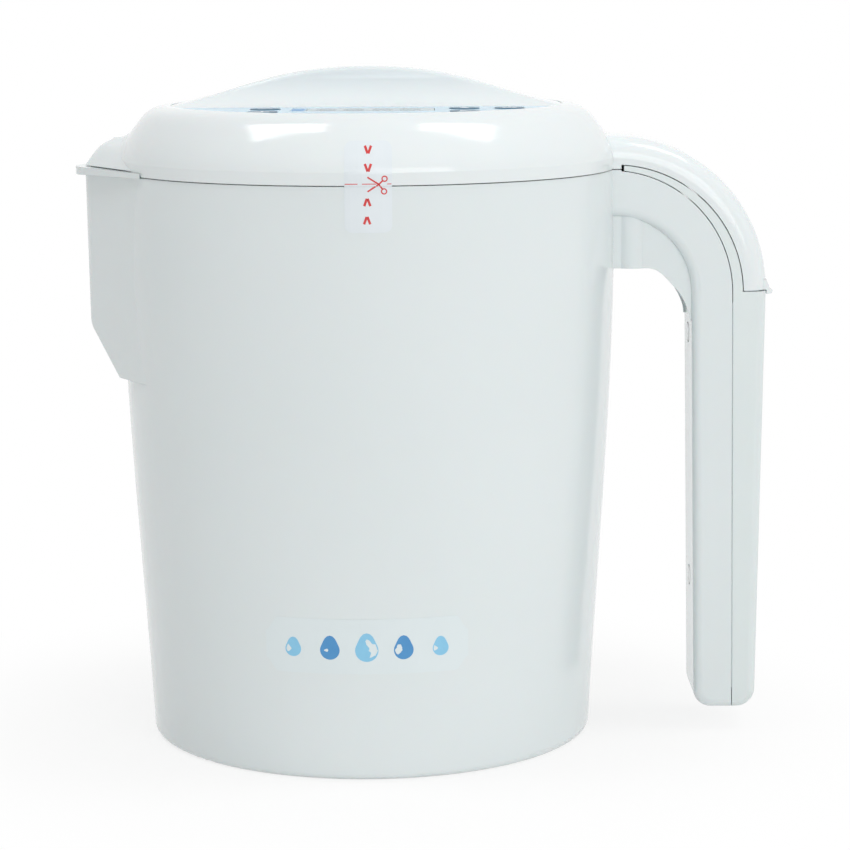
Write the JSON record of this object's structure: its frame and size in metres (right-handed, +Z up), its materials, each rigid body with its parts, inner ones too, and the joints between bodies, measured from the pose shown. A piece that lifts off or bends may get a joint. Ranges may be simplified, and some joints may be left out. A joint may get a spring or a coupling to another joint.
{
  "type": "water ionizer jug",
  "caption": "Upright round jug with a pouring spout, a hanging grip, a lift-off lid with a control panel and electrodes, and an inner acid water vessel.",
  "frame": {"origin": "on the jug's axis at the plane it stands on", "axes": "+Z up, +X from the jug towards its handle, -X towards the spout, -Y towards the side with the control panel"},
  "size_m": [0.2389, 0.17, 0.2303],
  "materials": {
    "white_housing": "glossy cool white ABS",
    "white_lid": "glossy white ABS, a little brighter than the jug",
    "white_cover": "fine spark-eroded white ABS",
    "panel_film": "light blue printed polycarbonate film",
    "key_plastic": "dark teal moulded keys",
    "display_acrylic": "grey tinted acrylic",
    "display_glass": "liquid crystal cell on its carrier",
    "circuit_board": "green solder mask",
    "black_plastic": "black moulded plastic",
    "relay_plastic": "blue relay case",
    "switch_steel": "stamped switch frames",
    "fuse_glass": "glass tube with nickel caps",
    "capacitor_sleeve": "dark shrink sleeve",
    "heat_sink_metal": "extruded, natural",
    "screw_steel": "zinc plated",
    "contact_metal": "nickel plated brass",
    "electrode_metal": "titanium, the anode platinised",
    "stainless": "stainless steel",
    "seal_rubber": "white silicone rubber",
    "lead_sheath": "silicone insulation",
    "vessel_plastic": "natural food-grade plastic",
    "diaphragm_cloth": "porous non-woven sheet"
  },
  "bodies": {
    "jug": {"jug_body": "white_housing", "handle_rear_cover": "white_cover", "handle_screws": "screw_steel", "mains_inlet": "black_plastic", "inlet_pins": "contact_metal", "contact_sleeves": "contact_metal", "handle_leads": "lead_sheath"},
    "lid": {"lid_shell": "white_lid", "control_panel": "panel_film", "display_window": "display_acrylic", "display_module": "display_glass", "control_board": "circuit_board", "board_screws": "screw_steel", "tact_switches": "switch_steel", "relay": "relay_plastic", "filter_capacitor": "capacitor_sleeve", "fuse": "fuse_glass", "buzzer": "black_plastic", "heat_sink": "heat_sink_metal", "bridge_rectifier": "black_plastic", "lid_base": "white_lid", "lid_gasket": "seal_rubber", "lid_screws": "stainless", "anode": "electrode_metal", "cathode_front": "stainless", "cathode_rear": "stainless", "electrode_seals": "seal_rubber", "ring_terminals": "contact_metal", "terminal_nuts": "stainless", "electrode_leads": "lead_sheath", "pin_holder": "black_plastic", "contact_pins": "contact_metal", "power_leads": "lead_sheath"},
    "vessel": {"vessel_frame": "vessel_plastic", "diaphragm": "diaphragm_cloth", "diaphragm_clip": "vessel_plastic"},
    "minus key": {"key_minus": "key_plastic", "plunger_minus": "black_plastic"},
    "plus key": {"key_plus": "key_plastic", "plunger_plus": "black_plastic"},
    "mode key": {"key_mode": "key_plastic", "plunger_mode": "black_plastic"},
    "start key": {"key_start": "key_plastic", "plunger_start": "black_plastic"},
    "power key": {"key_power": "key_plastic", "plunger_power": "black_plastic"}
  },
  "joints": [
    {"name": "lid_lift", "type": "slide", "parent": "jug", "child": "lid", "axis": [0, 0, 1], "range_m": [0, 0.4]},
    {"name": "vessel_lift", "type": "slide", "parent": "jug", "child": "vessel", "axis": [0, 0, 1], "range_m": [0, 0.2]},
    {"name": "minus_press", "type": "slide", "parent": "lid", "child": "minus key", "axis": [0, 0, -1], "range_m": [0, 0.0005], "stiffness_N_per_m": 2000},
    {"name": "plus_press", "type": "slide", "parent": "lid", "child": "plus key", "axis": [0, 0, -1], "range_m": [0, 0.0005], "stiffness_N_per_m": 2000},
    {"name": "mode_press", "type": "slide", "parent": "lid", "child": "mode key", "axis": [0, 0, -1], "range_m": [0, 0.0005], "stiffness_N_per_m": 2000},
    {"name": "start_press", "type": "slide", "parent": "lid", "child": "start key", "axis": [0, 0, -1], "range_m": [0, 0.0005], "stiffness_N_per_m": 2000},
    {"name": "power_press", "type": "slide", "parent": "lid", "child": "power key", "axis": [0, 0, -1], "range_m": [0, 0.0005], "stiffness_N_per_m": 2000}
  ],
  "couplings": [
    {"joint": "vessel_lift", "follows": "lid_lift", "ratio": 0.5}
  ]
}
